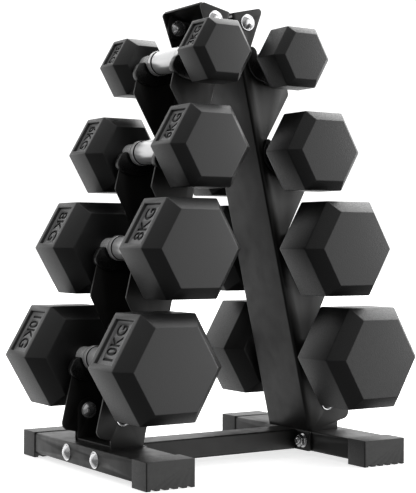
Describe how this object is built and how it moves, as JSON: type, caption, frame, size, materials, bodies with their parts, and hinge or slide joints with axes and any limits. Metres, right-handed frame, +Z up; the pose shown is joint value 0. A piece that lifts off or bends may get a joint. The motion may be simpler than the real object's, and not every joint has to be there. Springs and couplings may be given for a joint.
{
  "type": "dumbbell rack",
  "caption": "A-frame dumbbell rack of two leaning channel uprights with hooked flanges on capped tube feet, loaded with hex dumbbells in lined saddles.",
  "frame": {"origin": "on the floor, under the centre of the rack", "axes": "+Z up, +X to the right-hand upright, +Y to the rear"},
  "size_m": [0.4286, 0.311, 0.5559],
  "materials": {
    "black_powder_coat": "satin",
    "black_plastic": "matte",
    "bolt_chrome": "polished",
    "zinc_nuts": "satin",
    "handle_chrome": "polished",
    "rubber_heads": "matte"
  },
  "bodies": {
    "rack": {"right_upright": "black_powder_coat", "left_upright": "black_powder_coat", "right_foot_tube": "black_powder_coat", "left_foot_tube": "black_powder_coat", "right_front_end_cap": "black_plastic", "left_front_end_cap": "black_plastic", "right_rear_end_cap": "black_plastic", "left_rear_end_cap": "black_plastic", "right_cross_tube_end_plate": "black_powder_coat", "left_cross_tube_end_plate": "black_powder_coat", "right_foot_bracket": "black_powder_coat", "left_foot_bracket": "black_powder_coat", "right_front_saddle_liners": "black_plastic", "left_front_saddle_liners": "black_plastic", "right_rear_saddle_liners": "black_plastic", "left_rear_saddle_liners": "black_plastic", "top_connector": "black_powder_coat", "cross_tube": "black_powder_coat", "connector_bolts": "bolt_chrome", "connector_nuts": "zinc_nuts", "leg_bolts": "bolt_chrome", "leg_nuts": "zinc_nuts", "foot_bolts": "bolt_chrome", "foot_nuts": "zinc_nuts"},
    "left_dumbbell_1": {"left_dumbbell_1_handle": "handle_chrome", "left_dumbbell_1_front_head": "rubber_heads", "left_dumbbell_1_rear_head": "rubber_heads"},
    "left_dumbbell_2": {"left_dumbbell_2_handle": "handle_chrome", "left_dumbbell_2_front_head": "rubber_heads", "left_dumbbell_2_rear_head": "rubber_heads"},
    "left_dumbbell_3": {"left_dumbbell_3_handle": "handle_chrome", "left_dumbbell_3_front_head": "rubber_heads", "left_dumbbell_3_rear_head": "rubber_heads"},
    "left_dumbbell_4": {"left_dumbbell_4_handle": "handle_chrome", "left_dumbbell_4_front_head": "rubber_heads", "left_dumbbell_4_rear_head": "rubber_heads"},
    "right_dumbbell_1": {"right_dumbbell_1_handle": "handle_chrome", "right_dumbbell_1_front_head": "rubber_heads", "right_dumbbell_1_rear_head": "rubber_heads"},
    "right_dumbbell_2": {"right_dumbbell_2_handle": "handle_chrome", "right_dumbbell_2_front_head": "rubber_heads", "right_dumbbell_2_rear_head": "rubber_heads"},
    "right_dumbbell_3": {"right_dumbbell_3_handle": "handle_chrome", "right_dumbbell_3_front_head": "rubber_heads", "right_dumbbell_3_rear_head": "rubber_heads"},
    "right_dumbbell_4": {"right_dumbbell_4_handle": "handle_chrome", "right_dumbbell_4_front_head": "rubber_heads", "right_dumbbell_4_rear_head": "rubber_heads"}
  },
  "joints": [
    {"name": "left_dumbbell_1_lift", "type": "slide", "parent": "rack", "child": "left_dumbbell_1", "axis": [-0.4226, 0, 0.9063], "range_m": [0, 0.06]},
    {"name": "left_dumbbell_2_lift", "type": "slide", "parent": "rack", "child": "left_dumbbell_2", "axis": [-0.4226, 0, 0.9063], "range_m": [0, 0.03]},
    {"name": "left_dumbbell_3_lift", "type": "slide", "parent": "rack", "child": "left_dumbbell_3", "axis": [-0.4226, 0, 0.9063], "range_m": [0, 0.012]},
    {"name": "left_dumbbell_4_lift", "type": "slide", "parent": "rack", "child": "left_dumbbell_4", "axis": [-0.4226, 0, 0.9063], "range_m": [0, 0.014]},
    {"name": "right_dumbbell_1_lift", "type": "slide", "parent": "rack", "child": "right_dumbbell_1", "axis": [0.4226, 0, 0.9063], "range_m": [0, 0.06]},
    {"name": "right_dumbbell_2_lift", "type": "slide", "parent": "rack", "child": "right_dumbbell_2", "axis": [0.4226, 0, 0.9063], "range_m": [0, 0.03]},
    {"name": "right_dumbbell_3_lift", "type": "slide", "parent": "rack", "child": "right_dumbbell_3", "axis": [0.4226, 0, 0.9063], "range_m": [0, 0.012]},
    {"name": "right_dumbbell_4_lift", "type": "slide", "parent": "rack", "child": "right_dumbbell_4", "axis": [0.4226, 0, 0.9063], "range_m": [0, 0.014]}
  ]
}
